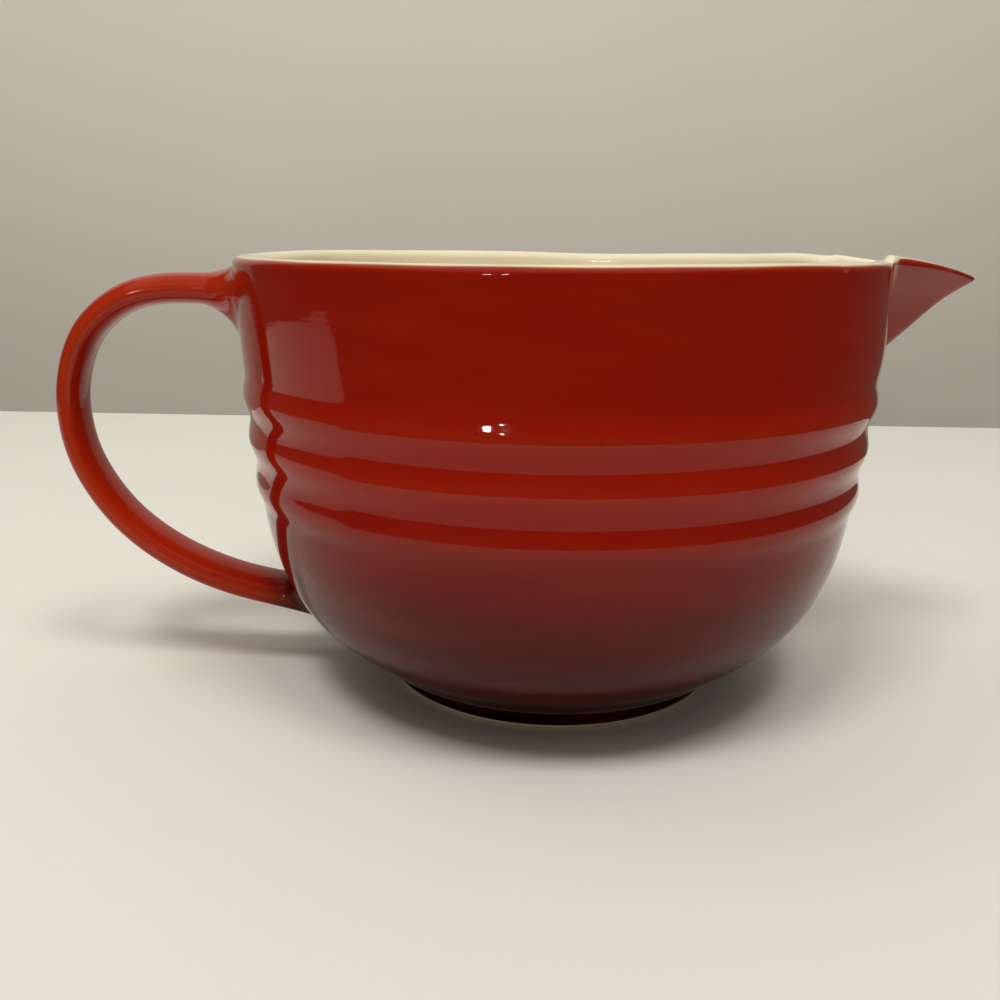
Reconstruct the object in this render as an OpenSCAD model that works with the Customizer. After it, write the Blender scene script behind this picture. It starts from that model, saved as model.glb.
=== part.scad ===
// One-handled batter bowl in glazed stoneware.
// Z is up, the origin is at the centre of the foot ring on the surface it
// stands on, and +X points at the pouring spout. All sizes in millimetres.

/* [Bowl] */
// Radius of the rim, over the glaze
rim_r = 95; // [94:0.5:97]
// Height of the rim above the table
rim_h = 130; // [129:0.5:132]
// Thickness of the wall at the lip
lip_t = 6.5; // [6:0.25:7]
// Relief of the three turned ribs
rib_relief = 1.1; // [0.4:0.1:1.6]
// Thickness of the glaze coats
glaze_t = 0.4; // [0.3:0.1:0.6]

/* [Foot] */
// Inner radius of the foot ring
foot_in_r = 46.5; // [44:0.5:47.5]
// Depth of the recess inside the foot ring
foot_recess = 4.5; // [4:0.1:5]

/* [Spout] */
// Slope of the top edge of the spout in degrees
spout_droop = 10.3; // [8:0.1:12]
// Half angle of the spout seen from above
spout_half_angle = 28.5; // [26:0.5:31]
// Wall thickness of the spout
spout_t = 5; // [4:0.25:5.5]
// Radius along the keel of the spout
keel_r = 3; // [2:0.5:4]

/* [Handle] */
// Width of the strap across the flat
strap_w = 17; // [15:0.5:21]
// Thickness of the strap
strap_t = 8.5; // [7:0.25:10]
// Extra width of the strap where it flares onto the wall
root_flare = 9; // [4:0.5:11]

/* [Hidden] */
$fn = 96;

g = glaze_t;
red = "#9c1408";
dark_red = "#4a0a0c";
cream = "#efe6c6";
clay = "#cdb894";

// --- curves ---------------------------------------------------------------

// one point of a Catmull-Rom curve
function cr(a, b, c, d, t) =
    0.5 * (2 * b + (c - a) * t + (2 * a - 5 * b + 4 * c - d) * t * t
           + (3 * b - a - 3 * c + d) * t * t * t);

// a smooth line through the points p, n steps between each two
function spline(p, n) = let (m = len(p) - 1) concat(
    [for (i = [0 : m - 1]) for (k = [0 : n - 1])
        cr(i > 0 ? p[i - 1] : 2 * p[0] - p[1], p[i], p[i + 1],
           i < m - 1 ? p[i + 2] : 2 * p[m] - p[m - 1], k / n)],
    [p[m]]);

// unit direction of a polyline at point i
function dirn(p, i) = let (a = p[max(i - 1, 0)], b = p[min(i + 1, len(p) - 1)],
    d = b - a) d / norm(d);

// the polyline moved sideways by d: outward, away from the axis, is positive
// for a line that runs up the outside
function moved(p, d) = [for (i = [0 : len(p) - 1])
    let (t = dirn(p, i)) [p[i][0] + t[1] * d, p[i][1] - t[0] * d]];

// --- the turned profile -----------------------------------------------------

lip_c = rim_r - lip_t / 2;      // centre line of the lip
lip_z = rim_h - 3;              // where the lip starts to round over

// belly and wall without the ribs, [radius, height]
belly_pts = [[54, 5.5], [57, 7.2], [60.2, 9.6], [64.5, 13.2], [71, 18.2], [77.3, 24.5],
             [82.3, 32], [85.6, 40], [88, 48], [89.7, 58.3], [91.1, 71.3],
             [92.3, 84.3], [93.2, 97.3], [rim_r - 0.7, 112],
             [rim_r, lip_z]];

// three ribs, one every 13 mm, as one wave that dies out above and below
rib_lo = 58.5;
rib_hi = 97.5;
function rib(z) = z > rib_lo && z < rib_hi
    ? rib_relief * pow(sin(180 * (z - rib_lo) / 13), 2) : 0;

belly = [for (p = spline(belly_pts, 6)) [p[0] + rib(p[1]), p[1]]];

// visible outside from the glaze line on the foot to the lip
outside = concat([[51.9, 1.4], [52.3, foot_recess]], belly);
// the clay under it
clay_out = moved(outside, -g);

// visible inside, from the middle of the floor up to the lip
inner_pts = [[34, 11], [44, 11.4], [53, 13.2], [61, 17.2], [67.8, 22.8],
             [72.6, 29], [76.6, 37], [79.8, 47], [82.6, 60], [85, 77],
             [86.9, 100], [rim_r - lip_t, lip_z]];
inside = concat([[0, 11]], spline(inner_pts, 4));
clay_in = [for (i = [0 : len(inside) - 1]) i == 0 ? [0, 11 - g]
    : let (t = dirn(inside, i)) [inside[i][0] + t[1] * g, inside[i][1] - t[0] * g]];

// the rounded lip, from angle a0 to a1, with a coat of g left off
function lip(a0, a1, g) = [for (k = [0 : 10]) let (a = a0 + (a1 - a0) * k / 10)
    [lip_c + (lip_t / 2 - g) * cos(a), lip_z + (3 - g) * sin(a)]];

function rev(p) = [for (i = [len(p) - 1 : -1 : 0]) p[i]];
function part_of(p, a, b) = [for (i = [a : b]) p[i]];

glaze_line = 52;                // where red meets cream on the lip
last_out = len(outside) - 1;
last_in = len(inside) - 1;

clay_profile = concat(part_of(clay_out, 1, last_out), part_of(lip(0, 180, g), 1, 9),
    rev(clay_in), [[0, foot_recess]]);
full_profile = concat([[0, 0]], outside, [[rim_r, rim_h + 6], [0, rim_h + 6]]);
clay_full_profile = concat([[0, 0]], clay_out, [[rim_r - g, rim_h + 6], [0, rim_h + 6]]);

module turned(p) { rotate_extrude($fn = 96) polygon(p); }

// everything inside the visible outer face, and inside the clay outer face,
// carried up past the lip
module solid_out() { turned(full_profile); }
module solid_clay() { turned(clay_full_profile); }

// --- the spout --------------------------------------------------------------

// The keel rises from the wall in two straight runs, the outer one flatter.
keel_mid = [112.4, 112.7];
keel_up = 38.5;                 // elevation of the outer run
keel_down = 43;                 // elevation of the run next to the wall

// A long V with its nose on the keel line. inset moves both faces in, and r is
// the radius of the nose.
module vee(elev, inset, r) {
    b = atan(tan(spout_half_angle) / sin(elev));
    sharp = keel_r * (1 / sin(b) - 1) - inset / sin(b);
    c = sharp - r / sin(b);
    reach = 60;
    arc = [for (k = [-5 : 5]) let (a = (90 - b) * k / 5) [c + r * cos(a), r * sin(a)]];
    tip = arc[10];
    translate([keel_mid[0], 0, keel_mid[1]])
        rotate([0, 90 - elev, 0])
            translate([0, 0, -70]) linear_extrude(130)
                polygon(concat(arc, [[tip[0] - reach * cos(b), tip[1] + reach * sin(b)],
                    [tip[0] - reach * cos(b), -tip[1] - reach * sin(b)]]));
}

module beak(inset, r) { vee(keel_up, inset, r); vee(keel_down, inset, r); }

// the space below the sloping top edge, lowered by d, from x0 outward
module under_edge(d, x0) {
    translate([90, 0, rim_h + 1.5 - d]) rotate([0, spout_droop, 0])
        translate([x0 - 90, -60, -60]) cube([110, 120, 60]);
}

module outer_beak(inset, d) {
    intersection() { beak(inset, keel_r - min(inset, 1)); under_edge(d, 84); }
}
// the channel also opens the wall, so it runs inward and up through the lip
module channel(inset) {
    intersection() { beak(inset, 2.5); translate([66, -60, 80]) cube([90, 120, 70]); }
}

// --- the handle -------------------------------------------------------------

// centre line of the strap, [distance from the axis, height]
strap_pts = [[84, 118.8], [93, 119.1], [101, 119.4], [109, 119.7], [117, 119.6],
             [126.5, 118], [135, 113.5], [142, 106.5], [146.3, 97.5],
             [148.4, 88], [148.4, 78], [146.4, 68], [142.3, 59], [136.5, 50.3],
             [129.3, 43], [120.5, 36.5], [111, 31.4], [101, 27.5], [90.5, 24.7],
             [80, 22.6], [71, 21.6], [61, 21.2]];
strap_line = spline(strap_pts, 3);
rings = len(strap_line) - 1;
cut_up = 7;                     // rings where the roots end and the strap starts
cut_lo = rings - 13;
sides = 20;

function flare(i) = let (p = strap_line[i])
    i < 20 ? exp(-max(p[0] - 93, 0) / 6)
           : (i > rings - 20 ? exp(-max(p[0] - 77, 0) / 6) : 0);

function super(c, e) = sign(c) * pow(abs(c), e);

// one ring of the strap: a rounded oval, flatter than an ellipse
function strap_ring(i, g) = let (p = strap_line[i], t = dirn(strap_line, i),
    f = flare(i),
    low = i > rings / 2 ? 1 : 0,
    a = strap_t / 2 + 0.5 * low + 2.5 * f - g,
    b = strap_w / 2 + root_flare / 2 * f - g)
    [for (k = [0 : sides - 1]) let (q = 360 * k / sides,
        u = a * super(cos(q), 0.8), v = b * super(sin(q), 0.8))
        [-(p[0] + t[1] * u), v, p[1] - t[0] * u]];

module sweep(i0, i1, g) {
    n = i1 - i0;
    pts = [for (i = [i0 : i1]) each strap_ring(i, g)];
    polyhedron(points = pts, faces = concat(
        [[for (k = [sides - 1 : -1 : 0]) k]],
        [[for (k = [0 : sides - 1]) n * sides + k]],
        [for (i = [0 : n - 1]) for (k = [0 : sides - 1]) let (m = (k + 1) % sides)
            each [[i * sides + k, (i + 1) * sides + m, (i + 1) * sides + k],
                  [i * sides + k, i * sides + m, (i + 1) * sides + m]]]),
        convexity = 4);
}

// --- clay pieces --------------------------------------------------------------

// Bowl: floor, ribbed wall and rounded lip, opened where the spout goes on
module bowl_body() color(clay) difference() {
    turned(clay_profile);
    channel(spout_t);
}

// Foot ring: bare where the bowl stands on it, with its corners rubbed round
module foot_ring() color(clay) turned([[foot_in_r + 0.9, 0], [50.7, 0], [51.3, 0.6],
    clay_out[0], clay_out[1], [foot_in_r, foot_recess], [foot_in_r, 0.9]]);

// Spout: a V-shaped beak, luted to the outside of the wall
module pouring_spout() color(clay) difference() {
    outer_beak(g, g);
    channel(spout_t);
    solid_clay();
}

// Strap of the handle
module handle_strap() color(clay) sweep(cut_up, cut_lo, g);

// Flared slip joints at both ends of the strap. Each has a key that goes through
// the glaze coat, so that clay sits on clay.
module upper_handle_root() color(clay) {
    difference() { sweep(0, cut_up, g); solid_out(); }
    difference() {
        intersection() { key(119.1, 4.6, 9.5); solid_out(); }
        solid_clay();
    }
}
module lower_handle_root() color(clay) {
    difference() { sweep(cut_lo, rings, g); solid_out(); }
    difference() {
        intersection() { key(22.8, 4.2, 9.5); solid_out(); }
        solid_clay();
    }
}
// an oval bar along -X through the wall at height z
module key(z, a, b) translate([-60, 0, z]) rotate([0, -90, 0])
    linear_extrude(50) polygon([for (k = [0 : 23])
        [a * super(cos(15 * k), 0.8), b * super(sin(15 * k), 0.8)]]);

// --- glaze coats ----------------------------------------------------------------

// Red coat outside, from just above the standing face to the edge of the lip
module exterior_glaze() color(red) difference() {
    turned(concat(outside, part_of(lip(0, glaze_line, 0), 1, 10),
        rev(part_of(lip(0, glaze_line, g), 1, 10)), rev(clay_out)));
    intersection() { beak(g, keel_r - g); translate([66, -60, 80]) cube([90, 120, 70]); }
    key(119.1, 4.6, 9.5);
    key(22.8, 4.2, 9.5);
}

// Cream coat inside and over the lip
module interior_glaze() color(cream) difference() {
    turned(concat(inside, part_of(lip(180, glaze_line, 0), 1, 10),
        rev(part_of(lip(180, glaze_line, g), 1, 10)), rev(clay_in)));
    channel(spout_t);
}

// Red coat on the outside of the spout
module spout_glaze() color(red) difference() {
    outer_beak(0, g);
    beak(g, keel_r - g);
    solid_out();
}

// Cream coat in the channel and on the top edge of the spout
module spout_liner_glaze() color(cream) {
    difference() {
        intersection() { channel(spout_t); under_edge(g, 60); turned(liner_reach); }
        channel(spout_t + g);
    }
    difference() {
        outer_beak(0, 0);
        under_edge(g, 60);
        channel(spout_t);
        solid_out();
    }
}
// where the liner starts, flush with the inside of the wall
liner_reach = concat([for (p = rev(part_of(inside, 30, last_in))) p],
    [[inside[30][0], 84], [160, 84], [160, rim_h - g], [lip_c, rim_h - g]]);

// Red coat on the strap and its roots
module handle_glaze() color(red) difference() {
    sweep(0, rings, 0);
    sweep(0, rings, g);
    solid_out();
}

// Coat in the recess inside the foot ring
module underside_glaze() color(dark_red)
    translate([0, 0, foot_recess - g]) cylinder(h = g, r = foot_in_r);

bowl_body();
foot_ring();
pouring_spout();
handle_strap();
upper_handle_root();
lower_handle_root();
exterior_glaze();
interior_glaze();
spout_glaze();
spout_liner_glaze();
handle_glaze();
underside_glaze();
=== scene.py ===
import bpy
import math
import numpy as np
from mathutils import Vector, Matrix


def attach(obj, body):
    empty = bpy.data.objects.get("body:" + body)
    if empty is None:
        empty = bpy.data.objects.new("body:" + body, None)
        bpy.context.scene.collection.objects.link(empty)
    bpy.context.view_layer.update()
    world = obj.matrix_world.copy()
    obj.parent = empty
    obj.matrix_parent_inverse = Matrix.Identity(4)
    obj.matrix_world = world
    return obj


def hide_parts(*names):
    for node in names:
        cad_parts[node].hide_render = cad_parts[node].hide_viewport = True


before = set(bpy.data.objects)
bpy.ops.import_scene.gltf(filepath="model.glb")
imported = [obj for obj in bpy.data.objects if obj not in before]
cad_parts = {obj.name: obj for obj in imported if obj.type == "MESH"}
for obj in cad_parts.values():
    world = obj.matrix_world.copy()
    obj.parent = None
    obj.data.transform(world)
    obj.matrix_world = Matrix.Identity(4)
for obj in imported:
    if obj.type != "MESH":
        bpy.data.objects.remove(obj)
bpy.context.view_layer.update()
MM = 0.001

# ---------------------------------------------------------------------------
# curves, in millimetres
# ---------------------------------------------------------------------------


def spline(points, n=24):
    p = np.array(points, float)
    m = len(p) - 1
    out = []
    for i in range(m):
        a = p[i - 1] if i > 0 else 2 * p[0] - p[1]
        b, c = p[i], p[i + 1]
        d = p[i + 2] if i < m - 1 else 2 * p[m] - p[m - 1]
        t = np.linspace(0, 1, n, endpoint=False)[:, None]
        out.append(0.5 * (2 * b + (c - a) * t + (2 * a - 5 * b + 4 * c - d) * t ** 2
                          + (3 * b - a - 3 * c + d) * t ** 3))
    out.append(p[-1:])
    return np.vstack(out)


def by_length(p, step):
    s = np.r_[0, np.cumsum(np.linalg.norm(np.diff(p, axis=0), axis=1))]
    n = max(int(round(s[-1] / step)), 2)
    u = np.linspace(0, s[-1], n + 1)
    return np.stack([np.interp(u, s, p[:, k]) for k in range(p.shape[1])], -1)


def soften(p, sigma, step=0.2):
    """The curve with its small kinks rounded over sigma; its ends stay."""
    p = by_length(p, step)
    k = int(4 * sigma / step) + 1
    w = np.exp(-0.5 * (np.arange(-k, k + 1) * step / sigma) ** 2)
    w /= w.sum()
    head = 2 * p[0] - p[k:0:-1]
    tail = 2 * p[-1] - p[-2:-k - 2:-1]
    q = np.vstack([head, p, tail])
    return np.stack([np.convolve(q[:, c], w, "valid") for c in range(p.shape[1])], -1)


def step01(x):
    x = np.clip(x, 0, 1)
    return x * x * (3 - 2 * x)


def smin(a, b, k):
    h = np.maximum(k - np.abs(a - b), 0) / k
    return np.minimum(a, b) - h * h * h * k / 6


def smax(a, b, k):
    return -smin(-a, -b, k)


# ---------------------------------------------------------------------------
# the turned form
# ---------------------------------------------------------------------------

RIM = 94.92
HIGH = 129.7
LIP = 3.0                               # how deep the lip rounds inside
LIP_OUT = 2.2                           # and outside
GLAZE = 0.4

BELLY = [(54, 5.5), (57, 7.2), (60.2, 9.6), (64.5, 13.2), (71, 18.2), (77.3, 24.5),
         (82.3, 32), (85.6, 40), (88, 48), (89.7, 58.3), (91.1, 71.3),
         (92.3, 84.3), (93.2, 97.3), (RIM - 0.7, 112), (RIM, 127), (RIM + 0.1, 133)]
RIB_RELIEF = 1.2


def rib(z):
    on = (z > 58.5) & (z < 97.5)
    return np.where(on, RIB_RELIEF * np.sin(np.pi * (z - 58.5) / 13) ** 2, 0)


_b = spline(BELLY, 40)
_b[:, 0] += rib(_b[:, 1])
_b = np.vstack([spline([(51.8, 1.4), (52.0, 2.4), (52.2, 3.6), (52.45, 4.7)], 20), _b])
_b = soften(_b, 0.5)


def wall_out(z):
    return np.interp(z, _b[:, 1], _b[:, 0])


INNER = [(0, 11), (18, 11), (34, 11), (44, 11.4), (53, 13.2), (61, 17.2),
         (67.8, 22.8), (72.6, 29), (76.6, 37), (79.8, 47), (82.6, 60), (85, 77),
         (86.9, 100), (RIM - 6.5, 127), (RIM - 6.45, 133)]
_i = soften(spline(INNER, 40), 1.5)
_floor = _i[_i[:, 1] < 13.2]


def wall_in(z):
    return np.interp(z, _i[:, 1], _i[:, 0])


# the spout: a V whose nose runs up the keel
KEEL = spline([(90, 89.5), (96, 95.2), (102.6, 101.7), (108, 107.6), (113, 112.9),
               (116, 116.2), (118.5, 119.5), (120.5, 122.7), (122.7, 126.4),
               (124.8, 129.9), (128, 135.2), (131, 140)], 20)
TIP = 127.1
HALF = math.radians(28.5)
NOSE = 12.0


def keel(z):
    return np.interp(z, KEEL[:, 0], KEEL[:, 1])


def vee(th, z, inset, nose):
    apex = keel(z) + NOSE / 6 - inset / math.sin(HALF)
    a = np.abs(th)
    far = np.where(a < 1.2, np.sin(np.minimum(HALF + a, math.pi - 0.05)), 1.0)
    near = np.sin(HALF - a)
    r1 = apex * math.sin(HALF) / far
    r2 = np.where(near > 0.02, apex * math.sin(HALF) / np.maximum(near, 0.02), 1e4)
    r = smin(r1, r2, nose)
    return np.where(a < 1.0, r, 0.0)


def swell(th, z):
    """The wall bulges a little on both sides of the spout, below its corners."""
    d = np.abs(np.degrees(th))
    up = 0.95 * np.exp(-((z - 104) / np.where(z > 104, 11.5, 8.5)) ** 2) + 0.35 * np.exp(-((z - 91) / 4.5) ** 2)
    return up * np.exp(-((d - 20) / 17) ** 2)


def shell_out(th, z):
    k = 1.3 + 3.0 * step01((102 - z) / 10) + 2.0 * step01((z - 108) / 16)
    # the point of the beak is cut off blunt
    v = smin(vee(th, z, 0.0, NOSE), TIP / np.maximum(np.cos(th), 0.5), 1.0)
    w = wall_out(z) + swell(th, z)
    return np.where(z > 84, smax(w, v, k), w)


def shell_in(th, z):
    return np.where(z > 84, smax(wall_in(z), vee(th, z, 5.0, 9.0), 3.0), wall_in(z))


def bump(d, c, w):
    x = (d - c + 180) % 360 - 180
    return np.exp(-(x / w) ** 2)


def rim_height(th):
    """Height of the lip round the bowl. Firing has left it a little out of true."""
    d = np.degrees(th)
    return (HIGH - 0.9 * bump(d, 74, 19) + 0.45 * bump(d, 150, 22) + 0.4 * bump(d, -66, 24)
            + 0.7 * bump(d, 24, 10))


def lift(th, x, rim):
    """How far the top edge stands over the plain rim at the distance x towards
    the spout: it steps up at the corner and slopes down to the tip."""
    d = np.degrees(th)
    s = np.clip((x - 91.3) / math.cos(math.radians(34)), 0, 44)
    near = 131.12 - 0.080 * s - 0.0017 * s * s
    far = 130.35 - 0.118 * s - 0.0003 * s * s
    arm = far + (near - far) * step01((-d + 1.5) / 3.0)
    return (arm - rim) * step01((x - 90.5) / 1.5) * (np.abs(d) < 40)


# columns: close together over the spout, even round the rest
_fine = np.concatenate([np.arange(0, 2.4, 0.15), np.arange(2.4, 12, 0.4),
                        np.arange(12, 20, 0.3), np.arange(20, 26, 0.75)])
_rest = np.linspace(26, 180, 106)
_half = np.concatenate([_fine, _rest])
TH = np.radians(np.concatenate([_half, -_half[-2:0:-1]]))

# rows of the outside, by height below the spout and by share above
_rows = np.concatenate([by_length(_b[_b[:, 1] <= 56], 0.9)[:, 1],
                        np.arange(56.5, 99.5, 0.5), np.arange(99.6, 127.01, 0.75)])
_rows[0] = 1.4


def column_heights(rows, top, base=88.0):
    r = np.asarray(rows)[None, :]
    t = top[:, None]
    return np.where(r <= base, r, base + (r - base) * (t - base) / (rows[-1] - base))


def build_grid():
    th = TH[:, None]
    rim = rim_height(TH)
    d = np.degrees(TH)
    tight = step01((15 - np.abs(d)) / 12)
    lip_i, lip_o = LIP - 2.0 * tight, LIP_OUT - 1.3 * tight
    # tops of the outer and the inner wall
    zo_top, zi_top = rim - lip_o, rim - lip_i
    for _ in range(5):
        zo_top = rim - lip_o + lift(TH, shell_out(TH, zo_top) * np.cos(TH), rim)
        zi_top = rim - lip_i + lift(TH, shell_in(TH, zi_top) * np.cos(TH), rim)
    zo = column_heights(_rows, zo_top)
    ro = shell_out(th, zo)
    top_o, top_i = shell_out(TH, zo_top), shell_in(TH, zi_top)
    # the red coat stops on the lip, on a line that wanders a little
    line = 47 + 3 * np.sin(3 * TH + 0.7) + 3 * np.sin(7 * TH + 2.1) + 2 * np.sin(17 * TH)
    line = line + 8 * np.exp(-((d + 136) / 22) ** 2)
    # at the corners of the spout the cream runs down over the lip
    line = line - 49 * np.exp(-((np.abs(d) - 15.5) / 1.6) ** 2)
    seg1 = np.linspace(0, 1, 8)[1:][None, :] * line[:, None]
    seg2 = line[:, None] + (np.linspace(0, 1, 17)[1:])[None, :] * (180 - line[:, None])
    t = np.radians(np.concatenate([seg1, seg2], 1))
    mid, hw = (top_o + top_i)[:, None] / 2, (top_o - top_i)[:, None] / 2
    c = np.cos(t)
    rl = mid + hw * np.sign(c) * np.abs(c) ** 0.92
    lip_h = np.where(t < np.pi / 2, lip_o[:, None], lip_i[:, None])
    zl = rim[:, None] - lip_h * (1 - np.sin(t)) + lift(th, rl * np.cos(th), rim[:, None])
    # inside, down to the floor
    down = np.concatenate([np.arange(126, 84, -0.9), np.arange(84, 24, -1.4)])
    zi = column_heights(down[::-1], zi_top - 0.9, 80.0)[:, ::-1]
    ri = shell_in(th, zi)
    low = _i[_i[:, 1] < 23.4]
    low = by_length(low, 1.8)[::-1]
    n = len(TH)
    rf = np.repeat(low[None, :, 0], n, 0)
    zf = np.repeat(low[None, :, 1], n, 0)
    r = np.concatenate([ro, rl, ri, rf], 1)
    z = np.concatenate([zo, zl, zi, zf], 1)
    jb = zo.shape[1] + 6
    P = np.stack([r * np.cos(th), r * np.sin(th), z], -1)
    return P, jb, zo.shape[1]


def grid_normals(P):
    du = np.roll(P, -1, 0) - np.roll(P, 1, 0)
    dv = np.empty_like(P)
    dv[:, 1:-1] = P[:, 2:] - P[:, :-2]
    dv[:, 0] = P[:, 1] - P[:, 0]
    dv[:, -1] = P[:, -1] - P[:, -2]
    n = np.cross(du, dv)
    l = np.linalg.norm(n, axis=-1, keepdims=True)
    n = n / np.maximum(l, 1e-9)
    n[:, -1] = (0, 0, 1)
    return n


# ---------------------------------------------------------------------------
# meshes
# ---------------------------------------------------------------------------


def make_object(name, verts, faces, mats, mat_index=None, smooth=True):
    me = bpy.data.meshes.new(name)
    me.from_pydata([tuple(v) for v in (np.asarray(verts) * MM)], [], faces)
    for m in mats:
        me.materials.append(m)
    if mat_index is not None:
        me.polygons.foreach_set("material_index", mat_index)
    me.polygons.foreach_set("use_smooth", [smooth] * len(me.polygons))
    me.validate()
    me.update()
    ob = bpy.data.objects.new(name, me)
    bpy.context.scene.collection.objects.link(ob)
    return ob


def float_attribute(ob, name, values):
    at = ob.data.attributes.new(name, "FLOAT", "POINT")
    at.data.foreach_set("value", np.asarray(values, np.float32))


def ring_faces(n, a, b, flip=False):
    """Quads between two rings of n points that start at a and b."""
    out = []
    for i in range(n):
        j = (i + 1) % n
        q = (a + i, a + j, b + j, b + i)
        out.append(q[::-1] if flip else q)
    return out


def closed_rings(rings):
    """A closed skin through rings of points, each (n, 3), joined last to first."""
    n = len(rings[0])
    verts = np.vstack(rings)
    faces = []
    m = len(rings)
    for k in range(m):
        faces += ring_faces(n, k * n, ((k + 1) % m) * n)
    return verts, faces


P, JB, NOUT = build_grid()
N = grid_normals(P)
C = P - N * GLAZE
NTH = P.shape[0]


def skin_object(name, j0, j1, mat, pole=False):
    """A coat of glaze: the rows j0 to j1 of the visible surface and of the clay
    under it, closed at both edges."""
    outer = [P[:, j] for j in range(j0, j1 + 1)]
    under = [C[:, j] for j in range(j1, j0 - 1, -1)]
    if not pole:
        verts, faces = closed_rings(outer + under)
        return make_object(name, verts, faces, [mat])
    # the middle of the floor closes on a single point
    outer, under = outer[:-1], under[1:]
    n = NTH
    verts = np.vstack(outer + under + [P[:1, j1], C[:1, j1]])
    faces = []
    a = len(outer)
    for k in range(a - 1):
        faces += ring_faces(n, k * n, (k + 1) * n)
    top = (a + len(under)) * n
    for i in range(n):
        faces.append(((a - 1) * n + i, (a - 1) * n + (i + 1) % n, top))
        faces.append((top + 1, a * n + (i + 1) % n, a * n + i))
    for k in range(a, a + len(under) - 1):
        faces += ring_faces(n, k * n, (k + 1) * n)
    faces += ring_faces(n, (a + len(under) - 1) * n, 0)
    return make_object(name, verts, faces, [mat])


# ---------------------------------------------------------------------------
# materials
# ---------------------------------------------------------------------------


class Tree:
    def __init__(self, name):
        self.mat = bpy.data.materials.new(name)
        self.mat.use_nodes = True
        self.nt = self.mat.node_tree
        self.bsdf = self.nt.nodes["Principled BSDF"]
        self.coord = self.nt.nodes.new("ShaderNodeTexCoord")

    def node(self, kind, **props):
        n = self.nt.nodes.new(kind)
        for k, v in props.items():
            setattr(n, k, v)
        return n

    def link(self, a, b):
        self.nt.links.new(a, b)

    def noise(self, scale, detail=4.0, rough=0.5, dist=0.0, stretch=None):
        n = self.node("ShaderNodeTexNoise")
        n.inputs["Scale"].default_value = scale
        n.inputs["Detail"].default_value = detail
        n.inputs["Roughness"].default_value = rough
        n.inputs["Distortion"].default_value = dist
        if stretch:
            m = self.node("ShaderNodeMapping")
            m.inputs["Scale"].default_value = stretch
            self.link(self.coord.outputs["Object"], m.inputs["Vector"])
            self.link(m.outputs["Vector"], n.inputs["Vector"])
        else:
            self.link(self.coord.outputs["Object"], n.inputs["Vector"])
        return n.outputs["Fac"]

    def ramp(self, fac, stops, interp="LINEAR"):
        r = self.node("ShaderNodeValToRGB")
        r.color_ramp.interpolation = interp
        e = r.color_ramp.elements
        while len(e) < len(stops):
            e.new(0.5)
        for el, (p, c) in zip(e, stops):
            el.position = p
            el.color = (*c, 1) if len(c) == 3 else c
        self.link(fac, r.inputs["Fac"])
        return r.outputs["Color"]

    def math(self, op, a, b=None, c=None, clamp=False):
        n = self.node("ShaderNodeMath", operation=op, use_clamp=clamp)
        for s, v in zip(n.inputs, (a, b, c)):
            if v is None:
                continue
            if isinstance(v, (int, float)):
                s.default_value = v
            else:
                self.link(v, s)
        return n.outputs[0]

    def range(self, v, a, b, c=0.0, d=1.0, smooth=False):
        n = self.node("ShaderNodeMapRange", clamp=True,
                      interpolation_type="SMOOTHSTEP" if smooth else "LINEAR")
        self.link(v, n.inputs["Value"])
        for k, x in zip(("From Min", "From Max", "To Min", "To Max"), (a, b, c, d)):
            n.inputs[k].default_value = x
        return n.outputs["Result"]

    def mix(self, fac, a, b, blend="MIX"):
        n = self.node("ShaderNodeMix", data_type="RGBA", blend_type=blend)
        ins = [s for s in n.inputs if s.enabled or s.type == "RGBA"]
        f = n.inputs["Factor"]
        A = [s for s in n.inputs if s.name == "A" and s.type == "RGBA"][0]
        B = [s for s in n.inputs if s.name == "B" and s.type == "RGBA"][0]
        for s, v in ((f, fac), (A, a), (B, b)):
            if isinstance(v, (int, float)):
                s.default_value = v
            elif isinstance(v, tuple):
                s.default_value = (*v, 1) if len(v) == 3 else v
            else:
                self.link(v, s)
        return [s for s in n.outputs if s.type == "RGBA"][0]

    def height(self):
        """Height above the table in millimetres."""
        s = self.node("ShaderNodeSeparateXYZ")
        self.link(self.coord.outputs["Object"], s.inputs[0])
        return self.math("MULTIPLY", s.outputs["Z"], 1000.0)

    def bump(self, height, strength, distance, chain=None):
        n = self.node("ShaderNodeBump")
        n.inputs["Strength"].default_value = strength
        n.inputs["Distance"].default_value = distance
        self.link(height, n.inputs["Height"])
        if chain is not None:
            self.link(chain, n.inputs["Normal"])
        return n.outputs["Normal"]

    def attribute(self, name):
        n = self.node("ShaderNodeAttribute", attribute_name=name)
        return n.outputs["Fac"]


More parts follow.
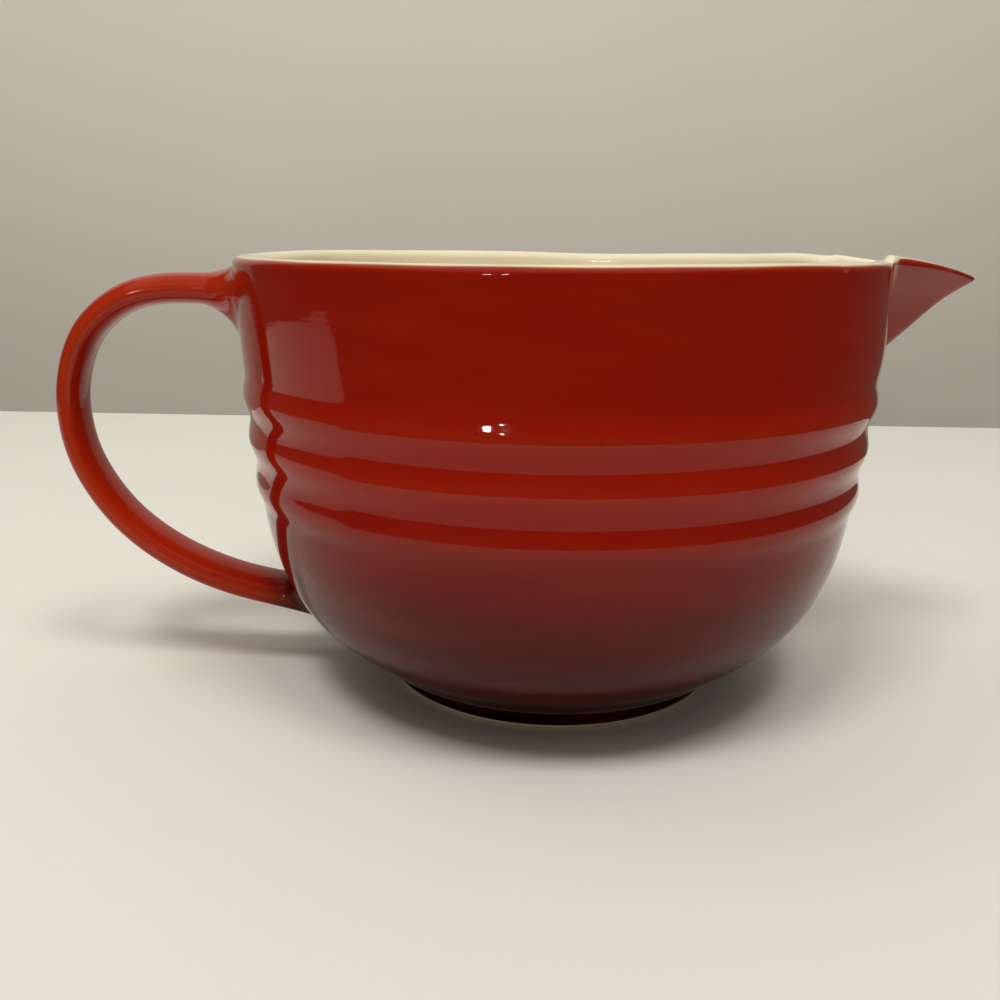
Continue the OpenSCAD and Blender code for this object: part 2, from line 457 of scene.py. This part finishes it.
def red_glaze():
    t = Tree("red_glaze")
    b = t.bsdf
    h = t.height()
    # the dark shade is sprayed up from the foot, so its edge is soft and cloudy
    cloud = t.noise(11, 3, 0.5)
    drift = t.math("MULTIPLY_ADD", t.math("SUBTRACT", cloud, 0.5), 9.0, h)
    base = t.ramp(t.math("DIVIDE", drift, 130.0), [
        (0.02, (0.002, 0.0002, 0.0002)),
        (0.07, (0.008, 0.0004, 0.0004)),
        (0.14, (0.025, 0.0007, 0.0009)),
        (0.24, (0.058, 0.0011, 0.0014)),
        (0.36, (0.108, 0.0017, 0.0017)),
        (0.47, (0.188, 0.0036, 0.0018)),
        (0.58, (0.284, 0.0070, 0.0010)),
        (0.70, (0.280, 0.0070, 0.0008)),
        (0.80, (0.262, 0.0064, 0.0008)),
        (1.00, (0.244, 0.0060, 0.0008))])
    bright = t.mix(t.range(t.noise(16, 3, 0.5), 0.3, 0.7), (0.31, 0.010, 0.0016), (0.38, 0.020, 0.0032))
    base = t.mix(t.attribute("shade"), bright, base)
    # fine mottling along the turning marks, and a few darker specks in the coat
    mott = t.noise(60, 5, 0.65, 0.0, (0.5, 0.5, 3.0))
    base = t.mix(t.range(mott, 0.40, 0.72, 0.0, 0.10), base, (0.42, 0.038, 0.008))
    speck = t.noise(520, 2, 0.5)
    base = t.mix(t.range(speck, 0.735, 0.79, 0.0, 0.45), base, (0.03, 0.003, 0.002))
    # glaze draws thin over sharp edges and shows orange there
    edge = t.attribute("thin")
    wav = t.math("MULTIPLY", edge, t.range(t.noise(70, 3, 0.6), 0.3, 0.7, 0.45, 1.0))
    base = t.mix(wav, base, (0.42, 0.080, 0.024))
    # and in the corners of the spout the red is mixed towards a pale pink
    base = t.mix(t.math("MULTIPLY", t.attribute("pale"), 0.85), base, (0.62, 0.30, 0.22))
    t.link(base, b.inputs["Base Color"])
    rough = t.range(t.noise(45, 4, 0.6), 0.3, 0.7, 0.035, 0.065)
    t.link(rough, b.inputs["Roughness"])
    b.inputs["IOR"].default_value = 1.5
    # the sprayed shade dries with less gloss towards the foot
    t.link(t.range(h, 12.0, 45.0, 0.02, 0.255, True), b.inputs["Specular IOR Level"])
    # the faint waviness of a thick glaze, with turning marks under it
    wave = t.bump(t.noise(42, 2, 0.45), 0.16, 0.0012)
    rings = t.bump(t.noise(30, 2, 0.5, 0.0, (0.25, 0.25, 8.0)), 0.06, 0.0008, wave)
    peel = t.bump(t.noise(420, 2, 0.5), 0.02, 0.0004, rings)
    t.link(peel, b.inputs["Normal"])
    return t.mat


def cream_glaze():
    t = Tree("cream_glaze")
    b = t.bsdf
    tone = t.noise(18, 4, 0.55)
    base = t.mix(t.range(tone, 0.3, 0.7), (0.82, 0.735, 0.53), (0.88, 0.80, 0.60))
    speck = t.noise(700, 2, 0.5)
    base = t.mix(t.range(speck, 0.70, 0.80, 0.0, 0.30), base, (0.40, 0.28, 0.14))
    base = t.mix(t.attribute("thin"), base, (0.60, 0.42, 0.24))
    t.link(base, b.inputs["Base Color"])
    t.link(t.range(t.noise(60, 3, 0.5), 0.3, 0.7, 0.10, 0.16), b.inputs["Roughness"])
    b.inputs["IOR"].default_value = 1.52
    wave = t.bump(t.noise(45, 2, 0.45), 0.10, 0.0012)
    peel = t.bump(t.noise(380, 2, 0.5), 0.04, 0.0004, wave)
    t.link(peel, b.inputs["Normal"])
    return t.mat


def dark_glaze():
    t = Tree("dark_glaze")
    b = t.bsdf
    tone = t.noise(40, 4, 0.6)
    base = t.mix(t.range(tone, 0.3, 0.7), (0.018, 0.003, 0.003), (0.055, 0.006, 0.005))
    speck = t.noise(600, 2, 0.5)
    base = t.mix(t.range(speck, 0.68, 0.78, 0.0, 0.4), base, (0.12, 0.03, 0.012))
    t.link(base, b.inputs["Base Color"])
    t.link(t.range(t.noise(90, 3, 0.5), 0.3, 0.7, 0.14, 0.26), b.inputs["Roughness"])
    b.inputs["IOR"].default_value = 1.52
    wave = t.bump(t.noise(70, 3, 0.5), 0.15, 0.0010)
    t.link(wave, b.inputs["Normal"])
    return t.mat


def stoneware():
    t = Tree("stoneware")
    b = t.bsdf
    tone = t.noise(120, 6, 0.65)
    base = t.mix(t.range(tone, 0.3, 0.7), (0.50, 0.40, 0.28), (0.66, 0.56, 0.42))
    grit = t.noise(1600, 3, 0.6)
    base = t.mix(t.range(grit, 0.62, 0.72, 0.0, 0.7), base, (0.22, 0.14, 0.08))
    t.link(base, b.inputs["Base Color"])
    t.link(t.range(grit, 0.3, 0.7, 0.72, 0.92), b.inputs["Roughness"])
    b.inputs["IOR"].default_value = 1.45
    grain = t.bump(grit, 0.5, 0.0002)
    t.link(grain, b.inputs["Normal"])
    return t.mat


RED, CREAM, DARK, CLAY = red_glaze(), cream_glaze(), dark_glaze(), stoneware()

# ---------------------------------------------------------------------------
# bowl with spout: two coats of glaze on the clay
# ---------------------------------------------------------------------------


def thin_out(j0, j1):
    """How thin the coat is: on the rib crests, at the lip and along the keel."""
    z = P[:, j0:j1 + 1, 2]
    th = np.repeat(TH[:, None], z.shape[1], 1)
    crest = 0.10 * (rib(z) / RIB_RELIEF) ** 3
    j = np.arange(j0, j1 + 1)
    lip = 0.8 * np.exp(-(np.maximum(JB - j, 0) / 2.2) ** 2)[None, :] * np.ones((NTH, 1))
    d = np.degrees(np.abs(th))
    kl = np.where(z > 94, 0.25 * np.exp(-(d / 0.9) ** 2), 0)
    return np.clip(crest + lip + kl, 0, 1)


exterior = skin_object("exterior_coat", 0, JB, RED)
_v = thin_out(0, JB)
float_attribute(exterior, "thin", np.concatenate([_v.T.ravel(), _v.T[::-1].ravel()]))
float_attribute(exterior, "shade", np.ones(2 * _v.size))
_z = P[:, :JB + 1, 2]
_crease = np.arcsin(np.clip((keel(_z) + NOSE / 6) * math.sin(HALF) / wall_out(_z), 0, 1)) - HALF
_off = np.abs(np.abs(TH[:, None]) - _crease + 0.004) * 94.9
_pale = np.exp(-(_off / 1.1) ** 4) * step01((_z - 118.0) / 4.0) * (np.abs(TH[:, None]) < 0.5)
float_attribute(exterior, "pale", np.concatenate([_pale.T.ravel(), _pale.T[::-1].ravel()]))

LAST = P.shape[1] - 1
interior = skin_object("interior_coat", JB, LAST, CREAM, pole=True)
_n_rows = LAST - JB + 1
_t = 0.9 * np.exp(-(np.arange(_n_rows) / 1.6) ** 2)
_o = np.repeat(_t[:-1], NTH)
_u = np.repeat(_t[::-1][1:], NTH)
float_attribute(interior, "thin", np.concatenate([_o, _u, [0, 0]]))

# the clay between them
_jc = int(np.argmin(np.abs(C[0, :NOUT, 2] - 4.5)))
_rings = [C[:, j] for j in range(_jc, LAST)]
_n = NTH
_flat = []
for r in (46.5, 30.0, 12.0):
    _flat.append(np.stack([r * np.cos(TH), r * np.sin(TH), np.full(_n, 4.5)], -1))
_edge = C[:, _jc].copy()
_edge[:, 2] = 4.5
_verts = np.vstack(_rings + [_edge] + _flat + [C[:1, LAST], [[0, 0, 4.5]]])
_faces = []
for k in range(len(_rings) - 1):
    _faces += ring_faces(_n, k * _n, (k + 1) * _n)
_e = len(_rings)
_faces += ring_faces(_n, 0, _e * _n, True)
for k in range(_e, _e + 3):
    _faces += ring_faces(_n, k * _n, (k + 1) * _n, True)
_top = (_e + 4) * _n
for i in range(_n):
    j = (i + 1) % _n
    _faces.append(((_e - 1) * _n + i, (_e - 1) * _n + j, _top))
    _faces.append((_top + 1, (_e + 3) * _n + j, (_e + 3) * _n + i))
body = make_object("bowl_clay", _verts, _faces, [CLAY])

# foot ring: a turned ring with rubbed corners, bare on its standing face
_prof = soften(np.array([(46.5, 4.5), (46.5, 1.6), (46.85, 0.55), (47.6, 0.05), (48.2, 0.0), (49.4, 0.0),
                         (50.3, 0.0), (50.9, 0.18), (51.3, 0.7), (51.45, 1.4), (51.6, 2.6),
                         (51.85, 4.5)]), 0.22, 0.1)
_prof[:, 1] = np.maximum(_prof[:, 1], 0.0)
_prof = by_length(_prof, 0.35)
_a = np.linspace(0, 2 * np.pi, 240, endpoint=False)
_rr = [np.stack([r * np.cos(_a), r * np.sin(_a), np.full(240, z)], -1) for r, z in _prof]
_v, _f = closed_rings(_rr)
foot = make_object("foot_clay", _v, _f, [CLAY])

# the coat in the recess of the foot, with a soft corner against the ring
_rp = spline([(0.0, 4.25), (20, 4.2), (38, 4.1), (43.5, 4.0), (45.5, 3.5), (46.3, 2.6), (46.43, 1.9)], 14)
_rp = by_length(_rp, 0.8)
_up = _rp.copy()
_up[:, 1] = np.minimum(_up[:, 1] + 0.35, 4.5)
_up[-3:, 0] = 46.48
_up[0] = (0, 4.5)
_rows_u = [np.stack([r * np.cos(_a), r * np.sin(_a), np.full(240, z)], -1) for r, z in _rp[1:]]
_rows_c = [np.stack([r * np.cos(_a), r * np.sin(_a), np.full(240, z)], -1) for r, z in _up[1:][::-1]]
_all = _rows_u + _rows_c
_v = np.vstack(_all + [[[0, 0, _rp[0, 1]]], [[0, 0, 4.5]]])
_f = []
for k in range(len(_all) - 1):
    _f += ring_faces(240, k * 240, (k + 1) * 240)
_c = len(_all) * 240
for i in range(240):
    j = (i + 1) % 240
    _f.append((_c, j, i))
    _f.append((_c + 1, (len(_all) - 1) * 240 + i, (len(_all) - 1) * 240 + j))
under = make_object("underside_coat", _v, _f, [DARK])

# ---------------------------------------------------------------------------
# handle
# ---------------------------------------------------------------------------

STRAP = [(84, 118.8), (93, 119.1), (101, 119.4), (109, 119.7), (117, 119.6),
         (126.5, 118), (135, 113.5), (142, 106.5), (146.3, 97.5),
         (148.4, 88), (148.4, 78), (146.4, 68), (142.3, 59), (136.5, 50.3),
         (129.3, 43), (120.5, 36.5), (111, 31.4), (101, 27.5), (90.5, 24.7),
         (80, 22.6), (71, 21.6), (61, 21.2)]
_line = soften(spline(STRAP, 24), 3.0, 0.25)
SIDES = 88


def coat_out(z):
    """Radius of the outer coat with the round of the lip, away from the spout."""
    s = np.clip((z - (HIGH - LIP_OUT)) / LIP_OUT, 0, 0.995)
    hw = (wall_out(127.0) - wall_in(127.0)) / 2
    return wall_out(np.minimum(z, HIGH - LIP_OUT)) - hw * (1 - (1 - s * s) ** 0.46)


def on_wall(x, y, z):
    """Signed distance from the outer wall, along the radius."""
    return np.hypot(x, y) - wall_out(z)


def wall_normal(x, y, z):
    r = np.hypot(x, y)
    s = (coat_out(z + 0.15) - coat_out(z - 0.15)) / 0.3
    n = np.stack([x / r, y / r, -s * np.ones_like(r)], -1)
    return n / np.linalg.norm(n, axis=-1, keepdims=True)


def even(ring, times=3):
    """The ring with the small unevenness between its points taken out."""
    for _ in range(times):
        ring = 0.5 * ring + 0.25 * (np.roll(ring, 1, 0) + np.roll(ring, -1, 0))
    return ring


def handle_rings(g):
    """Rings of the strap between the two walls, with a hollow fillet at each end."""
    p = _line
    t = np.gradient(p, axis=0)
    t /= np.linalg.norm(t, axis=1, keepdims=True)
    q = np.linspace(0, 2 * np.pi, SIDES, endpoint=False)
    cu, sv = np.cos(q), np.sin(q)
    u = np.sign(cu) * np.abs(cu) ** np.where(cu < 0, 0.95, 0.88)
    v = np.sign(sv) * np.abs(sv) ** 0.90
    share = np.linspace(0, 1, len(p))
    a = np.interp(share, [0, 0.22, 0.4, 0.6, 0.75, 1], [4.55, 4.5, 3.95, 4.35, 4.85, 4.9])
    b = np.interp(share, [0, 0.2, 0.45, 0.75, 1], [8.9, 8.5, 8.2, 8.5, 9.0])
    a = np.convolve(np.pad(a, 40, "edge"), np.ones(81) / 81, "valid")
    b = np.convolve(np.pad(b, 40, "edge"), np.ones(81) / 81, "valid")
    f = np.where(share < 0.3, np.exp(-np.maximum(p[:, 0] - 93, 0) / 5.5), 0)
    g2 = np.where(share > 0.7, np.exp(-np.maximum(p[:, 0] - 76, 0) / 6.0), 0)
    a = a + 1.9 * f + 0.8 * g2
    b = b + 4.0 * f + 3.5 * g2
    X = -(p[:, 0][:, None] + t[:, 1][:, None] * (a[:, None] - g) * u)
    Z = p[:, 1][:, None] - t[:, 0][:, None] * (a[:, None] - g) * u
    Y = (b[:, None] - g) * v[None, :] * np.ones_like(X)
    G = np.stack([X, Y, Z], -1)                     # (rings, sides, 3)
    d = on_wall(G[..., 0], G[..., 1], G[..., 2])
    out = []
    for side in (0, 1):
        sel = slice(0, len(p) // 2) if side == 0 else slice(len(p) // 2, len(p))
        ds = d[sel] if side == 0 else d[sel][::-1]
        gs = G[sel] if side == 0 else G[sel][::-1]
        fil = 11.0 + 2.5 * np.maximum(cu, 0) ** 2 if side == 0 else 10.5 + 0 * cu
        W = np.empty((SIDES, 3))
        A = np.empty((SIDES, 3))
        D = np.empty((SIDES, 3))
        for k in range(SIDES):
            dk = ds[:, k]
            # the last crossing of the wall on this line
            i = np.where(dk < 0)[0].max()
            f = dk[i] / (dk[i] - dk[i + 1])
            W[k] = gs[i, k] + f * (gs[i + 1, k] - gs[i, k])
            lens = np.r_[0, np.cumsum(np.linalg.norm(np.diff(gs[i + 1:, k], axis=0), axis=1))]
            first = np.linalg.norm(gs[i + 1, k] - W[k])
            A[k] = [np.interp(fil[k] - first, lens, gs[i + 1:, k, c]) for c in range(3)]
            ahead = np.array([np.interp(fil[k] - first + 0.6, lens, gs[i + 1:, k, c]) for c in range(3)])
            D[k] = (A[k] - ahead) / np.linalg.norm(A[k] - ahead)
        W, A, D = even(W), even(A), even(D)
        D /= np.linalg.norm(D, axis=1, keepdims=True)
        out.append((W, A, D, fil))
    return G, d, out, share


def fillet_rings(W, A, D, fil, upper, steps=22):
    """From the strap (A) a hollow curve that lands flat on the wall."""
    c = W.mean(0)
    n = wall_normal(W[:, 0], W[:, 1], W[:, 2])
    nxt, prv = np.roll(W, -1, 0), np.roll(W, 1, 0)
    tang = nxt - prv
    side = np.cross(tang, n)
    side /= np.linalg.norm(side, axis=1, keepdims=True)
    if ((W - c) * side).sum(1).mean() < 0:
        side = -side
    # a longer sweep under the upper root, and shorter near the lip
    side = even(side, 6)
    side /= np.linalg.norm(side, axis=1, keepdims=True)
    up = side[:, 2]
    over, below = np.clip(up, 0, 1) ** 2, np.clip(-up, 0, 1) ** 2
    base, top, low = (12.5, 4.0, 13.0) if upper else (12.0, 5.0, 9.0)
    reach = base + (top - base) * over + (low - base) * below
    B = W + side * reach[:, None]
    B[:, 2] = smin(B[:, 2], 128.2, 1.5)
    B = even(B)
    # put B on the wall
    r = np.hypot(B[:, 0], B[:, 1])
    k = coat_out(B[:, 2]) / r
    B[:, 0] *= k
    B[:, 1] *= k
    nb = wall_normal(B[:, 0], B[:, 1], B[:, 2])
    # corner: where the strap's side line meets the wall's tangent plane at B
    lam = ((B - A) * nb).sum(1) / np.minimum((D * nb).sum(1), -0.15)
    lam = np.clip(lam, 1.0, 1.4 * fil)
    Kc = A + D * lam[:, None]
    full = ((0.50 if upper else 0.58) - 0.06 * over)[:, None]
    c1, c2 = A + full * (Kc - A), B + full * (Kc - B)
    rings = []
    for s in np.linspace(0, 1, steps + 1):
        m = 1 - s
        rings.append(m ** 3 * A + 3 * m * m * s * c1 + 3 * m * s * s * c2 + s ** 3 * B)
    dirB = B - Kc
    dirB /= np.maximum(np.linalg.norm(dirB, axis=1, keepdims=True), 1e-6)
    room = np.clip((128.75 - B[:, 2]) / np.maximum(dirB[:, 2], 0.02), 0.3, 2.4)
    for share, deep in ((0.3, 0.02), (0.65, 0.07), (1.0, 0.22)):
        E = B + dirB * (room * share)[:, None]
        k = coat_out(E[:, 2]) / np.hypot(E[:, 0], E[:, 1])
        E[:, 0] *= k
        E[:, 1] *= k
        rings.append(E - wall_normal(E[:, 0], E[:, 1], E[:, 2]) * deep)
    return rings, B, nb


def handle_surface(g):
    G, d, ends, share = handle_rings(g)
    up, Bu, nu = fillet_rings(*ends[0], True)
    lo, Bl, nl = fillet_rings(*ends[1], False)
    # rings of the strap between the two A curves, spaced by length
    rings = list(up[::-1])
    L = np.r_[0, np.cumsum(np.linalg.norm(np.diff(_line, axis=0), axis=1))]
    cols = []
    for k in range(SIDES):
        line = G[:, k]
        s = np.r_[0, np.cumsum(np.linalg.norm(np.diff(line, axis=0), axis=1))]
        ia = np.argmin(np.linalg.norm(line[:len(line) // 2] - ends[0][1][k], axis=1))
        ib = len(line) // 2 + np.argmin(np.linalg.norm(line[len(line) // 2:] - ends[1][1][k], axis=1))
        u = np.linspace(s[ia], s[ib], 150)[1:-1]
        cols.append(np.stack([np.interp(u, s, line[:, c]) for c in range(3)], -1))
    cols = np.array(cols)                           # (sides, rings, 3)
    rings += [cols[:, i] for i in range(cols.shape[1])]
    rings += lo
    return rings


def handle_object(name, g, mat):
    rings = handle_surface(g)
    n = SIDES
    verts = np.vstack(rings + [rings[0].mean(0)[None] + (2.0, 0, 0), rings[-1].mean(0)[None] + (2.0, 0, 0.5)])
    faces = []
    m = len(rings)
    for k in range(m - 1):
        faces += ring_faces(n, k * n, (k + 1) * n, True)
    for i in range(n):
        j = (i + 1) % n
        faces.append((m * n, i, j))
        faces.append((m * n + 1, (m - 1) * n + j, (m - 1) * n + i))
    ob = make_object(name, verts, faces, [mat])
    return ob, m


handle, _m = handle_object("handle_coat", 0.0, RED)
_q = np.linspace(0, 2 * np.pi, SIDES, endpoint=False)
_thin = 0.22 * np.exp(-((np.abs(np.sin(_q)) - 1) / 0.06) ** 2)
_along = np.ones(_m)
_along[:24] = 0.3
_along[-24:] = 0.3
float_attribute(handle, "thin", np.r_[(_along[:, None] * _thin[None, :]).ravel(), 0, 0])
# the dark shade of the foot reaches only the lower root
_co = np.empty(3 * len(handle.data.vertices), np.float32)
handle.data.vertices.foreach_get("co", _co)
_co = _co.reshape(-1, 3) / MM
float_attribute(handle, "shade", step01((97 - np.hypot(_co[:, 0], _co[:, 1])) / 15.0) * (_co[:, 2] < 60))
float_attribute(handle, "pale", np.zeros(_m * SIDES + 2))

# ---------------------------------------------------------------------------
# who stands for what
# ---------------------------------------------------------------------------

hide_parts("exterior_glaze", "spout_glaze")
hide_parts("interior_glaze", "spout_liner_glaze")
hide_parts("bowl_body", "pouring_spout")
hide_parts("foot_ring")
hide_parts("underside_glaze")
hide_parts("handle_glaze", "handle_strap", "upper_handle_root", "lower_handle_root")
for ob, slot in ((exterior, "red_glaze"), (interior, "cream_glaze"), (body, "stoneware"),
                 (foot, "stoneware"), (under, "dark_glaze"), (handle, "red_glaze")):
    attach(ob, "root")

# ---------------------------------------------------------------------------
# floor, backdrop, light and camera
# ---------------------------------------------------------------------------


def plain(name, color, rough, grain=0.0):
    t = Tree(name)
    base = t.mix(t.range(t.noise(3.0, 4, 0.5), 0.3, 0.7), tuple(0.965 * c for c in color), color)
    t.link(base, t.bsdf.inputs["Base Color"])
    t.bsdf.inputs["Roughness"].default_value = rough
    if grain:
        t.link(t.bump(t.noise(900, 3, 0.6), grain, 0.0004), t.bsdf.inputs["Normal"])
    return t.mat


AZ = math.radians(-4.5)                 # the bowl's turn as the photo sees it


def turned_point(x, y, z=0.0):
    """A point given along and across the camera's view, in the bowl's frame."""
    c, s = math.cos(AZ), math.sin(AZ)
    return Vector((x * c - y * s, x * s + y * c, z))


def sheet_mesh(name, corners, mat):
    me = bpy.data.meshes.new(name)
    me.from_pydata([tuple(c) for c in corners], [], [tuple(range(len(corners)))])
    me.materials.append(mat)
    me.update()
    ob = bpy.data.objects.new(name, me)
    bpy.context.scene.collection.objects.link(ob)
    return ob


D, F = 3.27 * 0.095, 1003.0
CAM_Z = (1.3655 + 0.068) * 0.095
PITCH, ROLL, YAW = math.radians(14.9), math.radians(0.42), math.radians(-3.1)

PAPER = plain("floor_paper", (0.80, 0.785, 0.73), 0.85, 0.15)


# only the part about the bowl shows in the glaze, as a table top would that
# runs on to the left
_w = [math.radians(3.0 * k) for k in range(120)]


def table_edge(w):
    d = math.degrees(w)
    r = 0.372 + 0.52 * float(step01((d - 146) / 14) * step01((204 - d) / 14))
    return min(r, 0.40 / max(math.sin(w), 1e-9)) if 0 < d < 180 else r


_ring_in = [(table_edge(w) * math.cos(w), table_edge(w) * math.sin(w)) for w in _w]
_ring_out = []
for w in _w:
    c, s_ = math.cos(w), math.sin(w)
    r = min(2.4 / max(abs(c), 1e-9), (0.436 if s_ > 0 else 2.2) / max(abs(s_), 1e-9))
    _ring_out.append((r * c, r * s_))
_corner = []
for cx, cy in ((2.4, 0.436), (-2.4, 0.436), (-2.4, -2.2), (2.4, -2.2)):
    w = math.atan2(cy, cx) % (2 * math.pi)
    _corner.append((w, cx, cy))
table = sheet_mesh("floor", [turned_point(x, y) for x, y in _ring_in], PAPER)
_pts = [turned_point(x, y) for x, y in _ring_in + _ring_out] + [turned_point(x, y) for _, x, y in _corner]
_quads = []
for k in range(120):
    j = (k + 1) % 120
    w0, w1 = _w[k], _w[k] + math.radians(3.0)
    mid = [240 + i for i, (w, _, _) in enumerate(_corner) if w0 < w < w1]
    _quads.append(tuple([k, 120 + k] + mid + [120 + j, j]))
_me = bpy.data.meshes.new("floor_rest")
_me.from_pydata([tuple(v) for v in _pts], [], _quads)
_me.materials.append(PAPER)
_me.update()
rest = bpy.data.objects.new("floor_rest", _me)
bpy.context.scene.collection.objects.link(rest)
rest.visible_glossy = False
wall = sheet_mesh("backdrop", [turned_point(-1.5, 0.95, -1.0), turned_point(0.64, 0.95, -1.0),
                               turned_point(0.64, 0.95, 1.4), turned_point(-1.5, 0.95, 1.4)],
                  plain("backdrop_paint", (0.80, 0.77, 0.69), 0.9))

cam = bpy.data.objects.new("camera", bpy.data.cameras.new("camera"))
bpy.context.scene.collection.objects.link(cam)
cam.data.sensor_fit = "HORIZONTAL"
cam.data.sensor_width = 36.0
cam.data.lens = 36.0 * F / 1000.0
cam.data.clip_start = 0.01
# axes of the camera: forward, up and right, in the frame that looks along +Y
fw = Vector((math.sin(YAW) * 1.0, math.cos(YAW), 0))
fwd = Vector((math.cos(PITCH) * math.sin(YAW), math.cos(PITCH) * math.cos(YAW), -math.sin(PITCH)))
right = Vector((math.cos(YAW), -math.sin(YAW), 0))
upv = right.cross(fwd)
cr_, sr_ = math.cos(ROLL), math.sin(ROLL)
right2 = right * cr_ + upv * (sr_)
up2 = upv * cr_ - right * (sr_)
M3 = Matrix((right2, up2, -fwd)).transposed()
spin = Matrix.Rotation(AZ, 3, "Z")
cam.matrix_world = Matrix.Translation(spin @ Vector((0, -D, CAM_Z))) @ (spin @ M3).to_4x4()
bpy.context.scene.camera = cam


def area(name, loc, aim, size, power, color=(1, 1, 1), shape="RECTANGLE", size_y=None):
    d = bpy.data.lights.new(name, "AREA")
    d.shape = shape
    d.size = size
    if size_y:
        d.size_y = size_y
    d.energy = power
    d.color = color
    ob = bpy.data.objects.new(name, d)
    bpy.context.scene.collection.objects.link(ob)
    ob.location = loc
    v = (Vector(aim) - Vector(loc)).normalized()
    ob.rotation_euler = v.to_track_quat("-Z", "Y").to_euler()
    return ob


def soft(name, loc, aim, size, power, color=(1.0, 0.985, 0.955)):
    ob = area(name, loc, aim, size, power, color, size_y=size)
    ob.visible_glossy = False


area("ceiling", turned_point(0.0, -0.2, 1.9), (0, 0, 0.0), 3.0, 14.2, (1.0, 0.985, 0.955), size_y=3.0)
soft("key_left", turned_point(-0.30, -0.68, 1.56), (0, 0, 0.0), 0.42, 10.2)
soft("key_right", turned_point(0.36, -0.58, 1.60), (0, 0, 0.0), 0.42, 7.6)
soft("wash", turned_point(-0.5, 0.1, 1.2), turned_point(-0.25, 0.95, 0.50), 0.6, 2.0)


def lamp(name, az, el, dist, radius, power, about=(0.0, 0.0, 0.10)):
    """A small round lamp far off, at an azimuth and elevation of the camera's frame."""
    a, e = math.radians(az), math.radians(el)
    p = turned_point(dist * math.cos(e) * math.cos(a), dist * math.cos(e) * math.sin(a),
                     about[2] + dist * math.sin(e))
    return area(name, p, about, radius * 2, power, (1.0, 0.93, 0.84), "DISK")


lamp("lamp_front_a", -112, 12.0, 2.8, 0.055, 3.5)
lamp("lamp_front_b", -106, 14.0, 2.8, 0.036, 2.0)
lamp("lamp_front_c", -107, 9.4, 2.8, 0.034, 1.8)
lamp("lamp_right", 15, 12, 2.4, 0.028, 0.9)

world = bpy.data.worlds.new("studio")
world.use_nodes = True
bg = world.node_tree.nodes["Background"]
bg.inputs["Color"].default_value = (0.100, 0.082, 0.062, 1)
bg.inputs["Strength"].default_value = 1.0
bpy.context.scene.world = world
bpy.context.scene.view_settings.view_transform = "Standard"
